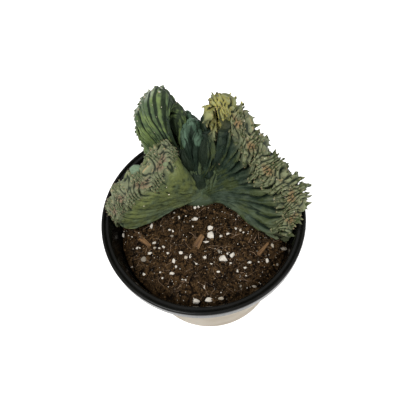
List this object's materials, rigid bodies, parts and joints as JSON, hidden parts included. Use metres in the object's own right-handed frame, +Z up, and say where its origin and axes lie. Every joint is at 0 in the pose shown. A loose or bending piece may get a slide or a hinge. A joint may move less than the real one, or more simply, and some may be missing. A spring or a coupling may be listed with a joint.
{
  "type": "potted cereus",
  "caption": "Crested cereus cactus in a small round pot: ribbed green fans fold like a shell over dark potting mix with white perlite, in a black-rimmed white pot.",
  "frame": {"origin": "middle of the cover pot's underside, on the surface it stands on", "axes": "+Z up, -Y the side that the picture looks from, +X to the right of that view"},
  "size_m": [0.107, 0.106, 0.1387],
  "materials": {
    "cover_pot": "satin warm white",
    "grow_pot": "black, slightly glossy",
    "soil": "moist, crumbly potting mix with perlite",
    "crest": "waxy ribbed cactus skin",
    "bark": "raw bark"
  },
  "bodies": {
    "root": {"cover_pot": "cover_pot", "grow_pot": "grow_pot", "soil": "soil", "crest": "crest", "bark_chip_left": "bark", "bark_chip_middle": "bark", "bark_chip_right": "bark"}
  },
  "joints": []
}
